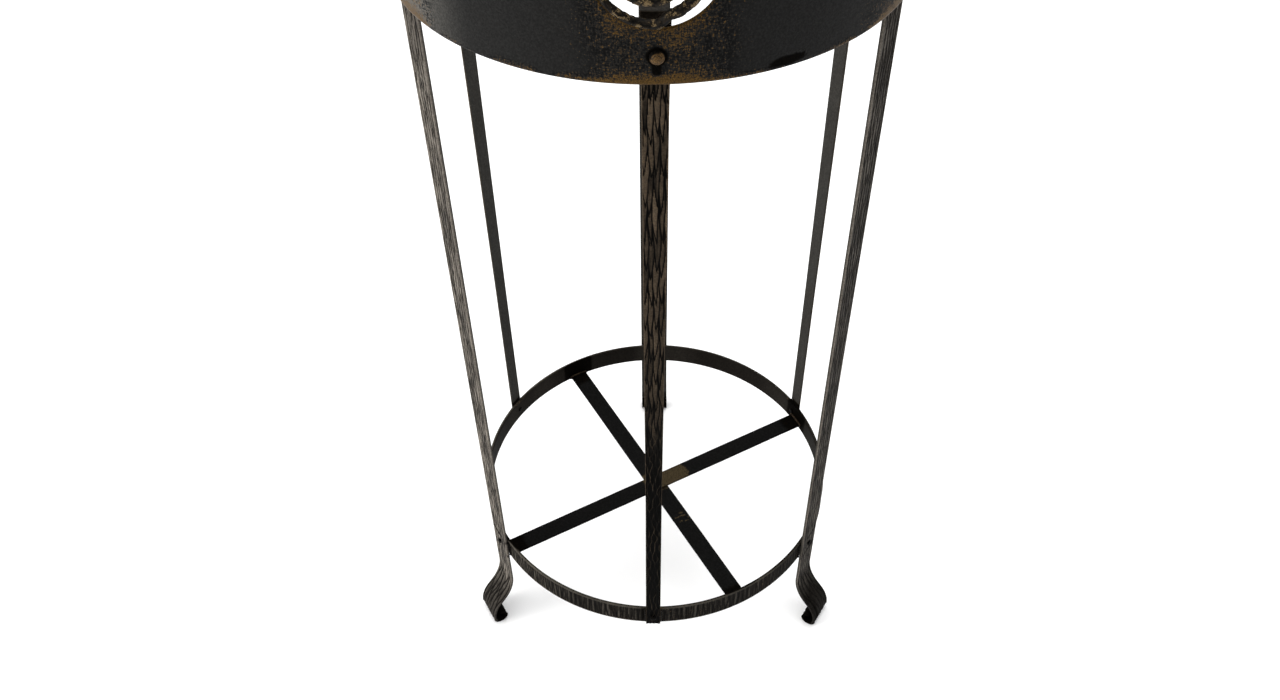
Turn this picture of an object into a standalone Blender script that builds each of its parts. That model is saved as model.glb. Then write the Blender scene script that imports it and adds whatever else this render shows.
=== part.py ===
"""Wrought-iron style plant stand: a pierced sheet band on three legs and three uprights.

Metres, +Z up, floor at z = 0. The front upright is at -Y. Every upright and leg is built at
+X about the stand's axis and turned to its place.
"""
import math

import bmesh
import bpy
from mathutils import Vector

# Lower ring: a flat strip bent on edge.
RING_R = 0.1170
RING_T = 0.0021
RING_H = 0.0152

# Three wide legs with curled feet, three narrow uprights that stop at the ring.
LEG_W = 0.0193
FOOT_W = 0.0200                   # the bar spreads towards the foot
LEG_T = 0.0019
UPRIGHT_W = 0.0092                # at the ring
UPRIGHT_TOP_W = 0.0117            # below the band
UPRIGHT_END_W = 0.0125            # at the upper end, behind the band
TAPER_FROM, TAPER_TO = 0.117, 0.398
UPRIGHT_T = 0.0015
LEAN = 0.0102                     # outward run per unit of height
LEG_ANGLES = {"leg_back": 90.8, "leg_front_left": 210, "leg_front_right": 330}
UPRIGHT_ANGLES = {"upright_front": 270, "upright_back_left": 150, "upright_back_right": 30}
# How far round from its ring joint a bar meets the band, and its hole, scroll and rivet lie, in degrees.
TOP_SHIFTS = {"front": 1.25, "back": -0.8}
HOLE_SHIFTS = {"front": 1.5, "back": -0.8}

# Foot, drawn in the leg's own plane: bend out, run straight, bend back, roll under.
FOOT_START = 0.0328               # below the ring's mid-height
FOOT_SPLAY = math.radians(42)
FOOT_OUT_R = 0.0304
FOOT_RUN = 0.0040
FOOT_BACK_R = 0.0237
FOOT_ROLL_R = 0.0043
FOOT_ROLL_TURN = math.radians(268)

# Sheet band round the top.
BAND_RISE = 0.4050                # ring's mid-height to the band's lower edge
BAND_H = 0.1060
BAND_R = 0.1260                   # outer radius at the lower edge
BAND_T = 0.0016
HOLE_R = 0.0271
HOLE_UP = 0.0530                  # hole's centre above the band's lower edge
UPRIGHT_END = 0.0316              # uprights' upper ends above the band's lower edge

# Scroll of round rod in each hole, as a spiral about its own eye.
ROD_R = 0.0028
SCROLL_R = 0.0238
SCROLL_LAP = math.radians(272)    # the tail follows the hole's edge up to here
SCROLL_KINK = 0.0029              # then the rod turns in by this much within 15 degrees
SCROLL_SHRINK = 0.0074
SCROLL_COIL = math.radians(349)
SCROLL_POWER = 1.3
SCROLL_EYE = (-0.0010, -0.0005)   # across and up from the hole's centre
SCROLL_FROM = math.radians(160)
SCROLL_PROUD = 0.0010             # rod's centre outside the band's outer face
SCROLL_FULL = math.radians(330)   # the rod tapers from here back to its outer end
SCROLL_TIP = 0.5
SCROLL_TO = math.radians(745)
SCROLL_POINTS = 38

# Crossbars, laid flat in the ring.
BAR_W = 0.0120
BAR_T = 0.0023
BAR_END = 0.0010                  # weld gap between a bar's end and the ring
UPPER_ASIDE = -0.0065             # each bar misses the stand's axis by this much
LOWER_ASIDE = 0.0019

# Rivets: head radius, dome height, shank radius, tail radius, tail height.
BAND_RIVET = (0.0033, 0.0024, 0.0016, 0.0025, 0.0008)
RING_RIVET = (0.0021, 0.0010, 0.0011, 0.0018, 0.0006)
BAND_RIVET_UP = 0.0133            # above the band's lower edge

GAP = 0.0003
LEG_TOP = BAND_RISE + UPRIGHT_END
ROUND_STEPS = 96
RIVET_STEPS = 16
ARC_STEP = math.radians(14)


def clear_scene():
    for obj in list(bpy.data.objects):
        bpy.data.objects.remove(obj, do_unlink=True)


def new_collection(name, hidden=False):
    group = bpy.data.collections.new(name)
    bpy.context.scene.collection.children.link(group)
    group.hide_render = hidden
    return group


def paint(name, colour, roughness, metallic):
    mat = bpy.data.materials.new(name)
    mat.use_nodes = True
    shader = mat.node_tree.nodes["Principled BSDF"]
    shader.inputs["Base Color"].default_value = (*colour, 1.0)
    shader.inputs["Roughness"].default_value = roughness
    shader.inputs["Metallic"].default_value = metallic
    mat.diffuse_color = (*colour, 1.0)
    return mat


def leg_centre_line(thickness, top, foot):
    """Points (radius, height above the ring's mid-height) down the middle of a bar, and of its foot."""
    def radius(height):
        return RING_R + GAP + thickness / 2 + LEAN * height
    line = [(radius(top), top)]
    if not foot:
        line += [(radius(z), z) for z in (TAPER_TO, TAPER_FROM, 0.0, -RING_H / 2)]
        return line
    r, z = radius(-FOOT_START), -FOOT_START
    line.append((r, z))
    heading = -math.atan(LEAN)
    for target, bend in ((FOOT_SPLAY, FOOT_OUT_R), (FOOT_SPLAY, None), (0.0, FOOT_BACK_R),
                         (-FOOT_ROLL_TURN, FOOT_ROLL_R)):
        if bend is None:
            r += FOOT_RUN * math.sin(heading)
            z -= FOOT_RUN * math.cos(heading)
            line.append((r, z))
            continue
        turn = target - heading
        steps = max(3, math.ceil(abs(turn) / ARC_STEP))
        chord = 2 * bend * math.sin(abs(turn) / steps / 2)
        for _ in range(steps):
            heading += turn / steps / 2
            r += chord * math.sin(heading)
            z -= chord * math.cos(heading)
            heading += turn / steps / 2
            line.append((r, z))
    return line


def bar_width(height, foot):
    """Width of a leg or an upright at this height above the ring's mid-height."""
    if foot:
        spread = min(1.0, max(0.0, (-FOOT_START - height) / FOOT_OUT_R))
        return LEG_W + (FOOT_W - LEG_W) * spread
    rise = min(1.0, max(0.0, (height - TAPER_FROM) / (TAPER_TO - TAPER_FROM)))
    flare = min(1.0, max(0.0, (height - TAPER_TO) / (LEG_TOP - TAPER_TO)))
    return UPRIGHT_W + (UPRIGHT_TOP_W - UPRIGHT_W) * rise + (UPRIGHT_END_W - UPRIGHT_TOP_W) * flare


FOOT_LINE = leg_centre_line(LEG_T, LEG_TOP, True)
RING_Z = LEG_T / 2 - min(z for r, z in FOOT_LINE)
BAND_Z = RING_Z + BAND_RISE
BAND_TOP_R = BAND_R + LEAN * BAND_H


def mesh_object(name, group, mat, verts, edges, faces, smooth=False):
    mesh = bpy.data.meshes.new(name)
    mesh.from_pydata(verts, edges, faces)
    mesh.materials.append(mat)
    mesh.update()
    for face in mesh.polygons:
        face.use_smooth = smooth
    obj = bpy.data.objects.new(name, mesh)
    group.objects.link(obj)
    return obj


def lathe(name, group, mat, profile, closed, steps, smooth=True):
    """Turn a profile of (radius, height) points about Z with a Screw modifier."""
    verts = [(r, 0.0, z) for r, z in profile]
    edges = [(i, i + 1) for i in range(len(verts) - 1)]
    if closed:
        edges.append((len(verts) - 1, 0))
    obj = mesh_object(name, group, mat, verts, edges, [])
    screw = obj.modifiers.new("turn", "SCREW")
    screw.axis = "Z"
    screw.angle = math.tau
    screw.steps = steps
    screw.render_steps = steps
    screw.use_smooth_shade = smooth
    screw.use_merge_vertices = True
    screw.merge_threshold = 0.00001
    return obj


def strip(name, group, mat, thickness, line):
    """A flat bar: a sheet across Y that follows (X, Z, width, sideways shift) points, thickened both ways."""
    verts = []
    for r, z, width, shift in line:
        verts.append((r, shift - width / 2, z))
        verts.append((r, shift + width / 2, z))
    faces = [(2 * i, 2 * i + 1, 2 * i + 3, 2 * i + 2) for i in range(len(line) - 1)]
    obj = mesh_object(name, group, mat, verts, [], faces)
    solid = obj.modifiers.new("thick", "SOLIDIFY")
    solid.thickness = thickness
    solid.offset = 0.0
    solid.use_even_offset = True
    return obj


def cutter(name, group, radius, length, place, angle, steps):
    """A round cutter whose axis points away from the stand's axis at the given angle."""
    bm = bmesh.new()
    bmesh.ops.create_cone(bm, cap_ends=True, segments=steps, radius1=radius, radius2=radius, depth=length)
    mesh = bpy.data.meshes.new(name)
    bm.to_mesh(mesh)
    bm.free()
    obj = bpy.data.objects.new(name, mesh)
    group.objects.link(obj)
    obj.location = place
    obj.rotation_euler = (0.0, math.pi / 2, angle)
    obj.hide_render = True
    obj.display_type = "WIRE"
    return obj


def cut(obj, tool):
    mod = obj.modifiers.new("cut_" + tool.name, "BOOLEAN")
    mod.operation = "DIFFERENCE"
    mod.solver = "EXACT"
    mod.object = tool


def spot(angle, radius, height):
    """A point on the stand at this angle, radius and height."""
    return Vector((radius * math.cos(angle), radius * math.sin(angle), height))


def make_band(group, mat):
    low, high = BAND_Z, BAND_Z + BAND_H
    profile = [(BAND_TOP_R, high), (BAND_R, low), (BAND_R - BAND_T, low), (BAND_TOP_R - BAND_T, high)]
    obj = lathe("apron_band", group, mat, profile, True, ROUND_STEPS)
    return obj


def make_ring(group, mat):
    low, high = RING_Z - RING_H / 2, RING_Z + RING_H / 2
    profile = [(RING_R, high), (RING_R, low), (RING_R - RING_T, low), (RING_R - RING_T, high)]
    obj = lathe("lower_ring", group, mat, profile, True, ROUND_STEPS)
    return obj


def make_bar(name, group, mat, angle, thickness, foot, top_shift):
    line = leg_centre_line(thickness, LEG_TOP, foot)
    side_run = BAND_R * math.sin(top_shift) / (BAND_RISE + BAND_RIVET_UP)
    raised = [(r, z + RING_Z, bar_width(z, foot), side_run * max(0.0, z)) for r, z in line]
    obj = strip(name, group, mat, thickness, raised)
    obj.rotation_euler = (0.0, 0.0, angle)
    return obj


def make_crossbar(name, group, mat, angle, aside, low):
    bm = bmesh.new()
    bmesh.ops.create_cube(bm, size=1.0)
    inner = RING_R - RING_T - GAP
    half = math.sqrt(inner ** 2 - (abs(aside) + BAR_W / 2) ** 2) - BAR_END
    bmesh.ops.scale(bm, vec=(2 * half, BAR_W, BAR_T), verts=bm.verts)
    mesh = bpy.data.meshes.new(name)
    bm.to_mesh(mesh)
    bm.free()
    mesh.materials.append(mat)
    obj = bpy.data.objects.new(name, mesh)
    group.objects.link(obj)
    obj.location = Vector((-aside * math.sin(angle), aside * math.cos(angle), low + BAR_T / 2))
    obj.rotation_euler = (0.0, 0.0, angle)
    return obj


def rivet_profile(size, grip):
    """Half outline of a rivet about Z: domed head above z = 0, shank and tail below."""
    head, dome, shank, tail, tail_h = size
    arc = [(head * math.sin(a), dome * math.cos(a)) for a in (math.radians(d) for d in (0, 25, 50, 72, 90))]
    arc[0] = (0.0, dome)
    foot = -grip - tail_h
    return arc + [(shank, 0.0), (shank, -grip), (tail, -grip), (tail * 0.8, foot), (0.0, foot)]


def make_rivet(name, group, mat, size, grip, angle, radius, height):
    obj = lathe(name, group, mat, rivet_profile(size, grip), False, RIVET_STEPS, smooth=False)
    obj.location = spot(angle, radius, height)
    obj.rotation_euler = (0.0, math.pi / 2, angle)
    return obj


def scroll_path(mid_radius):
    """The spiral wrapped onto the band's own curve, about the stand's axis at +X: points and thickness."""
    path = []
    for i in range(SCROLL_POINTS):
        turn = SCROLL_FROM + (SCROLL_TO - SCROLL_FROM) * i / (SCROLL_POINTS - 1)
        coil = max(0.0, (turn - SCROLL_LAP) / SCROLL_COIL)
        kink = min(1.0, max(0.0, (turn - SCROLL_LAP) / math.radians(15)))
        r = SCROLL_R - SCROLL_KINK * kink - SCROLL_SHRINK * coil ** SCROLL_POWER
        across = SCROLL_EYE[0] + r * math.cos(turn)
        up = SCROLL_EYE[1] + r * math.sin(turn)
        around = across / mid_radius
        full = min(1.0, (turn - SCROLL_FROM) / (SCROLL_FULL - SCROLL_FROM))
        size = SCROLL_TIP + (1.0 - SCROLL_TIP) * full
        path.append((mid_radius * math.cos(around), mid_radius * math.sin(around), up, size))
    return path


def make_scroll(name, group, mat, angle):
    height = BAND_Z + HOLE_UP
    curve = bpy.data.curves.new(name, "CURVE")
    curve.dimensions = "3D"
    curve.bevel_depth = ROD_R
    curve.bevel_resolution = 2
    curve.use_fill_caps = True
    curve.materials.append(mat)
    path = scroll_path(BAND_R + LEAN * HOLE_UP + SCROLL_PROUD)
    spline = curve.splines.new("POLY")
    spline.points.add(len(path) - 1)
    for point, (x, y, z, size) in zip(spline.points, path):
        point.co = (x, y, z, 1.0)
        point.radius = size
    spline.use_smooth = True
    obj = bpy.data.objects.new(name, curve)
    group.objects.link(obj)
    obj.location = Vector((0.0, 0.0, height))
    obj.rotation_euler = (0.0, 0.0, angle)
    return obj


def build():
    clear_scene()
    group = new_collection("plant_stand")
    tools = new_collection("cutters", hidden=True)
    sheet = paint("band_iron", (0.018, 0.016, 0.013), 0.55, 0.55)
    bar = paint("bark_iron", (0.030, 0.024, 0.017), 0.50, 0.60)
    hoop = paint("ring_iron", (0.034, 0.026, 0.019), 0.55, 0.55)
    flat = paint("crossbar_iron", (0.014, 0.013, 0.012), 0.50, 0.55)
    rod = paint("scroll_iron", (0.060, 0.042, 0.022), 0.45, 0.65)
    stud = paint("rivet_bronze", (0.110, 0.070, 0.028), 0.40, 0.75)

    band = make_band(group, sheet)
    ring = make_ring(group, hoop)
    low = RING_Z - RING_H / 2
    make_crossbar("crossbar_upper", group, flat, math.radians(30), UPPER_ASIDE, low + BAR_T + GAP)
    make_crossbar("crossbar_lower", group, flat, math.radians(120), LOWER_ASIDE, low)

    places = [(name, angle, LEG_T, True) for name, angle in LEG_ANGLES.items()]
    places += [(name, angle, UPRIGHT_T, False) for name, angle in UPRIGHT_ANGLES.items()]
    for name, degrees, thickness, foot in places:
        angle = math.radians(degrees)
        side = name.split("_", 1)[1]
        top_shift = math.radians(TOP_SHIFTS.get(side, 0.0))
        post = make_bar(name, group, bar, angle, thickness, foot, top_shift)

        rivet_z = BAND_Z + BAND_RIVET_UP
        inner = RING_R + GAP + LEAN * (BAND_RISE + BAND_RIVET_UP)
        outer = BAND_R + LEAN * BAND_RIVET_UP + GAP
        top = angle + math.radians(HOLE_SHIFTS.get(side, 0.0))
        make_rivet("band_rivet_" + side, group, stud, BAND_RIVET, outer - inner + GAP, top, outer, rivet_z)
        shank = cutter("shank_" + side, tools, BAND_RIVET[2] + GAP, 0.02, spot(top, outer, rivet_z), top, 16)
        cut(post, shank)
        cut(band, shank)

        outer = RING_R + GAP + thickness + GAP
        inner = RING_R - RING_T - GAP
        make_rivet("ring_rivet_" + side, group, stud, RING_RIVET, outer - inner, angle, outer, RING_Z)
        pin = cutter("pin_" + side, tools, RING_RIVET[2] + GAP, 0.02, spot(angle, RING_R, RING_Z), angle, 12)
        cut(post, pin)
        cut(ring, pin)

        hole = cutter("hole_" + side, tools, HOLE_R, 0.03, spot(top, BAND_R, BAND_Z + HOLE_UP), top, 48)
        cut(band, hole)
        make_scroll("scroll_" + side, group, rod, top)


build()
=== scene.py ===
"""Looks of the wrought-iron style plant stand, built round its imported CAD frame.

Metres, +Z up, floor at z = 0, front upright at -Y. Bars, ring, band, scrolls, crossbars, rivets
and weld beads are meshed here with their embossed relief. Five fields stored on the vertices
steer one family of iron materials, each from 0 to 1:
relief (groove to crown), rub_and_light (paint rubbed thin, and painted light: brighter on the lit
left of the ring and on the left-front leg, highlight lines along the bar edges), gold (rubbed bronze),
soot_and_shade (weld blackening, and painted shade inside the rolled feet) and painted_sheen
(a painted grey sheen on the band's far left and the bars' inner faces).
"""

import math

import bmesh
import bpy
import numpy as np
from mathutils import Matrix, Vector


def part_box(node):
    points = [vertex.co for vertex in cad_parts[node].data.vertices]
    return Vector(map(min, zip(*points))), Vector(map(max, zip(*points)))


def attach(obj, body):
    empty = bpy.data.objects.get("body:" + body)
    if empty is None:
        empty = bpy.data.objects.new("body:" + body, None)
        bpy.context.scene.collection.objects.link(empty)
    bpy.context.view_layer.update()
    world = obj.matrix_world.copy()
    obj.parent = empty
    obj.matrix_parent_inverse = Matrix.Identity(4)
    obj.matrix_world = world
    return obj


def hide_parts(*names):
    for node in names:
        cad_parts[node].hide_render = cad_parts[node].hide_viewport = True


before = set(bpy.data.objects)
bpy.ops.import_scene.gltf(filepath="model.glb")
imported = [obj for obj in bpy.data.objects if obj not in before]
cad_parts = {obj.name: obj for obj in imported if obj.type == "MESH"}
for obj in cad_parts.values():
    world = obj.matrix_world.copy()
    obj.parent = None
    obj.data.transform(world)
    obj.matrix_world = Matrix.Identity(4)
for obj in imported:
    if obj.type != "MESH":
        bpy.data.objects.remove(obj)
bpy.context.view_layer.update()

# Driving sizes, read from the frame.
RING_LOW, RING_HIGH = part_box("lower_ring")
BAND_LOW, BAND_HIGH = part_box("apron_band")
RING_R = RING_HIGH.x
RING_H = RING_HIGH.z - RING_LOW.z
RING_Z = (RING_HIGH.z + RING_LOW.z) / 2
BAND_H = BAND_HIGH.z - BAND_LOW.z
BAND_Z = BAND_LOW.z
LEAN = 0.0102                     # outward run per unit of height
BAND_R = BAND_HIGH.x - LEAN * BAND_H
CROSS_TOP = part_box("crossbar_upper")[1].z
CROSS_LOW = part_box("crossbar_lower")[0].z
GAP = 0.0003
SKIN = 0.00005                    # the visible skin stays this far inside the CAD solids

# Ring, band and bars.
RING_T = 0.0021
BAND_T = 0.0016
LEG_W = 0.0193
FOOT_W = 0.0200
LEG_T = 0.0019
UPRIGHT_W = 0.0092
UPRIGHT_TOP_W = 0.0117
UPRIGHT_END_W = 0.0125
TAPER_FROM, TAPER_TO = 0.117, 0.398
UPRIGHT_T = 0.0015
BAR_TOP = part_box("leg_back")[1].z - RING_Z
LEG_ANGLES = {"leg_back": 90.8, "leg_front_left": 210, "leg_front_right": 330}
UPRIGHT_ANGLES = {"upright_front": 270, "upright_back_left": 150, "upright_back_right": 30}
# Degrees round from a bar's ring joint to its band joint, and to its hole, scroll and rivet.
TOP_SHIFTS = {"front": 1.25, "back": -0.8}
HOLE_SHIFTS = {"front": 1.5, "back": -0.8}
SIDES = {name.split("_", 1)[1]: degrees for name, degrees in {**LEG_ANGLES, **UPRIGHT_ANGLES}.items()}

# Foot, in the leg's own plane.
FOOT_START = 0.0328
FOOT_SPLAY = math.radians(42)
FOOT_OUT_R = 0.0304
FOOT_RUN = 0.0040
FOOT_BACK_R = 0.0237
FOOT_ROLL_R = 0.0043
FOOT_ROLL_TURN = math.radians(268)

# Holes and the rod scrolls in them.
HOLE_R = 0.0271
HOLE_UP = BAND_H / 2
ROD_R = 0.0028
SCROLL_R = 0.0238
SCROLL_LAP = math.radians(272)    # the tail follows the hole's edge up to here
SCROLL_KINK = 0.0029
SCROLL_SHRINK = 0.0074
SCROLL_COIL = math.radians(349)
SCROLL_POWER = 1.3
SCROLL_EYE = (-0.0010, -0.0005)
SCROLL_FROM, SCROLL_FULL, SCROLL_TO = math.radians(160), math.radians(330), math.radians(745)
SCROLL_PROUD = 0.0010
SCROLL_TIP = 0.5

# Crossbars and rivets.
CROSS_W = 0.0120
CROSS_T = 0.0023
CROSS_ASIDE = {"upper": -0.0065, "lower": 0.0019}   # each bar misses the axis by this much
CROSS_ENDS = (("upper_right", 30), ("upper_left", 210), ("lower_left", 120), ("lower_right", 300))
SCUFF = (0.0195, -0.0350)                           # where the lower bar is scratched
BAND_RIVET = (0.0033, 0.0024, 0.0016, 0.0025, 0.0008)
RING_RIVET = (0.0021, 0.0010, 0.0011, 0.0018, 0.0006)
BAND_RIVET_UP = 0.0133

# Rounded edges of the visible skins.
BAR_SOFT = 0.00028
RING_SOFT = 0.0003
BAND_SOFT = 0.00035
CROSS_SOFT = 0.0006

SECTOR_ROWS, SECTOR_COLUMNS = 52, 66   # mesh steps up and along one sixth of the band

# Relief of the embossed faces.
EMBOSS = 0.00055                  # depth of the deepest grooves
BARK_W, BARK_L = 0.0017, 0.0190   # half a pointed bark scale on the legs, across and along
LEAF_W, LEAF_L = 0.0026, 0.0390   # a lapped leaf on the uprights
FINE_W, FINE_L = 0.0014, 0.0085   # half a dark pit low on the uprights

# How brightly each leg's ridges are rubbed and how much its foot is darkened. The rubbing is painted light:
# the left-front leg, facing the key lamp, is far brighter than the other two.
LEG_LIT_RUB_AND_FOOT_DARK = {"leg_back": (0.50, 0.8), "leg_front_left": (0.98, 0.75), "leg_front_right": (0.44, 1.0)}

# Camera, measured from the stand's axis at the ring's mid-height.
CAMERA_RIGHT, CAMERA_BACK, CAMERA_UP = -0.0456 * RING_R, 4.7294 * RING_R, 5.9271 * RING_R
CAMERA_PITCH, CAMERA_ROLL, CAMERA_YAW = 0.801, -0.0166, -0.0066
STAND_TURN = math.radians(1.2868)
LENS = 35.365


# ---------------------------------------------------------------- number fields

def lattice(i, j, seed):
    """A repeatable random number from 0 to 1 for each whole-number pair."""
    h = np.sin(i * 127.1 + j * 311.7 + seed * 74.7) * 43758.5453
    return h - np.floor(h)


def ramp(x, low, high):
    """0 below low, 1 above high, smooth between."""
    t = np.clip((x - low) / (high - low), 0.0, 1.0)
    return t * t * (3 - 2 * t)


def grain(x, y, seed, wrap=None):
    """Smooth value noise from 0 to 1. With wrap, x repeats after that many cells."""
    i, j = np.floor(x), np.floor(y)
    fx, fy = x - i, y - j
    fx, fy = fx * fx * (3 - 2 * fx), fy * fy * (3 - 2 * fy)
    left, right = (i % wrap, (i + 1) % wrap) if wrap else (i, i + 1)
    low = lattice(left, j, seed) * (1 - fx) + lattice(right, j, seed) * fx
    high = lattice(left, j + 1, seed) * (1 - fx) + lattice(right, j + 1, seed) * fx
    return low * (1 - fy) + high * fy


def bark(u, v, width, length, seed, wrap=None, sway=0.5):
    """Relief of pointed leaves between grooves that meet and part, 0 in the grooves to 1 on the crowns.

    Also gives each leaf's own number. Neighbouring grooves swing opposite ways by sway of their spacing.
    """
    x, y = u / width, v / length
    column = np.floor(x)
    nearest = np.full(x.shape, 9.0)
    left, right = np.full(x.shape, -9.0), np.full(x.shape, 9.0)
    own = np.zeros(x.shape)
    for step in (-2, -1, 0, 1, 2, 3):
        line = column + step
        key = line % wrap if wrap else line
        late = 1.1 * (grain(y * 0.6, key * 5.3, seed) - 0.5)
        swing = np.clip(1.3 * np.sin(math.pi * (y + late)), -1.0, 1.0)
        swing = np.where(np.mod(key, 2) > 0.5, -swing, swing)
        jitter = 0.5 * (grain(y * 1.7, key * 7.1, seed + 1) - 0.5)
        offset = line + sway * swing + jitter - x
        strength = 0.55 + 0.45 * grain(y * 0.9, key * 3.9, seed + 2)
        nearest = np.minimum(nearest, np.abs(offset) / strength)
        own = np.where((offset <= 0) & (offset > left), key, own)
        left = np.where(offset <= 0, np.maximum(left, offset), left)
        right = np.where(offset > 0, np.minimum(right, offset), right)
    share = -left / np.maximum(right - left, 0.05)
    tone = lattice(own, np.floor(y + 0.5 * np.mod(own, 2)), seed + 3)
    strands = grain(u / 0.0004, v / 0.006, seed + 5, None if not wrap else round(wrap * width / 0.0004))
    height = ramp(nearest, 0.08, 0.46) * (0.70 + 0.30 * tone) * (1.08 - 0.40 * share)
    height -= 0.34 * (strands - 0.25) * ramp(nearest, 0.2, 0.6)
    return np.clip(height, 0.0, 1.0), tone


def leaves(u, v, width, length, seed):
    """Long pointed leaves, each lapped over the ones below it: 0 in the dark outlines to 1 on the crowns.

    Also gives each leaf's own number.
    """
    x, y = u / width, v / length
    column = np.floor(x)
    depth, best, own = np.zeros(x.shape), np.full(x.shape, -1.0), np.zeros(x.shape)
    for step in (-1, 0, 1):
        line = column + step
        start = y + 0.5 * np.mod(line, 2) + 0.35 * lattice(line, line * 0, seed)
        for late in (0.0, 0.45):
            row = np.floor(start - late)
            t = start - late - row
            lean = 0.5 * (lattice(line, row + 9 * late, seed + 1) - 0.5)
            broad = 0.55 + 0.30 * lattice(line, row + 5 * late, seed + 2)
            half = broad * np.sin(math.pi * t ** 0.8) ** 0.75
            inside = half - np.abs(x - line - 0.5 - lean * (t - 0.5) - 0.5 * late)
            chosen = (inside > 0) & (t > best)
            best = np.where(chosen, t, best)
            depth = np.where(chosen, inside, depth)
            own = np.where(chosen, lattice(line + 7 * late, row, seed + 3), own)
    strands = grain(u / 0.00045, v / 0.008, seed + 5)
    height = ramp(depth, 0.05, 0.28) * (0.55 + 0.45 * own) - 0.26 * (strands - 0.3) * ramp(depth, 0.1, 0.3)
    return np.clip(height, 0.0, 1.0), own


def ridges(u, v, width, length, seed):
    """Thin ridges that meet and part round dark pointed pits: 0 in the pits to 1 on the ridges."""
    x, y = u / width, v / length
    column = np.floor(x)
    height = np.zeros(x.shape)
    for step in (-2, -1, 0, 1, 2, 3):
        line = column + step
        late = 1.3 * (grain(y * 0.6, line * 5.3, seed) - 0.5)
        swing = np.clip(1.25 * np.sin(math.pi * (y + late)), -1.0, 1.0)
        swing = np.where(np.mod(line, 2) > 0.5, -swing, swing)
        offset = np.abs(line + 0.5 * swing + 0.5 * (grain(y * 1.7, line * 7.1, seed + 1) - 0.5) - x)
        strength = 0.25 + 0.75 * ramp(grain(y * 1.3, line * 3.9, seed + 2), 0.25, 0.7)
        height = np.maximum(height, (1 - ramp(offset, 0.03, 0.20)) * strength)
    return height


# ---------------------------------------------------------------- mesh helpers

def finish_mesh(name, verts, faces, mat, fields=None, weld=None):
    """A smooth-shaded mesh object from arrays, with its material and vertex fields."""
    mesh = bpy.data.meshes.new(name)
    mesh.materials.append(mat)
    mesh.from_pydata([tuple(v) for v in verts], [], [tuple(f) for f in faces])
    bm = bmesh.new()
    bm.from_mesh(mesh)
    if weld:
        bmesh.ops.remove_doubles(bm, verts=bm.verts, dist=weld)
    bmesh.ops.recalc_face_normals(bm, faces=bm.faces)
    bm.to_mesh(mesh)
    bm.free()
    mesh.polygons.foreach_set("use_smooth", [True] * len(mesh.polygons))
    obj = bpy.data.objects.new(name, mesh)
    bpy.context.scene.collection.objects.link(obj)
    if fields:
        set_fields(obj, fields)
    return obj


def set_fields(obj, fields):
    """Stores numbers on the vertices for the materials: each is an array or one number."""
    count = len(obj.data.vertices)
    for key, values in fields.items():
        layer = obj.data.attributes.new(key, "FLOAT", "POINT")
        flat = np.broadcast_to(np.asarray(values, np.float32).ravel(), (count,))
        layer.data.foreach_set("value", np.ascontiguousarray(flat))


def coordinates(obj):
    co = np.zeros(len(obj.data.vertices) * 3, np.float32)
    obj.data.vertices.foreach_get("co", co)
    return co.reshape(-1, 3).astype(float)


def tube_faces(rows, around, first=0):
    """Quads of a closed tube of rows by around vertices."""
    faces = []
    for i in range(rows - 1):
        a = first + i * around
        for k in range(around):
            n = (k + 1) % around
            faces.append((a + k, a + n, a + around + n, a + around + k))
    return faces


def capped_tube(rows, around):
    """Quads of a closed tube and its two end caps."""
    last = (rows - 1) * around
    return tube_faces(rows, around) + [tuple(range(around)), tuple(range(last + around - 1, last - 1, -1))]


def sheet_faces(rows, columns, first=0):
    """Quads of an open grid of rows by columns vertices."""
    faces = []
    for i in range(rows - 1):
        a = first + i * columns
        for k in range(columns - 1):
            faces.append((a + k, a + k + 1, a + columns + k + 1, a + columns + k))
    return faces


def settle(obj, node):
    """The piece rides on the stand and stands in for a CAD node, which is hidden."""
    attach(obj, "root")
    if node:
        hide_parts(node)
    return obj


def turned(points, degrees):
    """Points turned about the stand's axis."""
    a = math.radians(degrees)
    c, s = math.cos(a), math.sin(a)
    x, y, z = points[:, 0], points[:, 1], points[:, 2]
    return np.stack([x * c - y * s, x * s + y * c, z], axis=1)


# ---------------------------------------------------------------- materials

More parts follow.
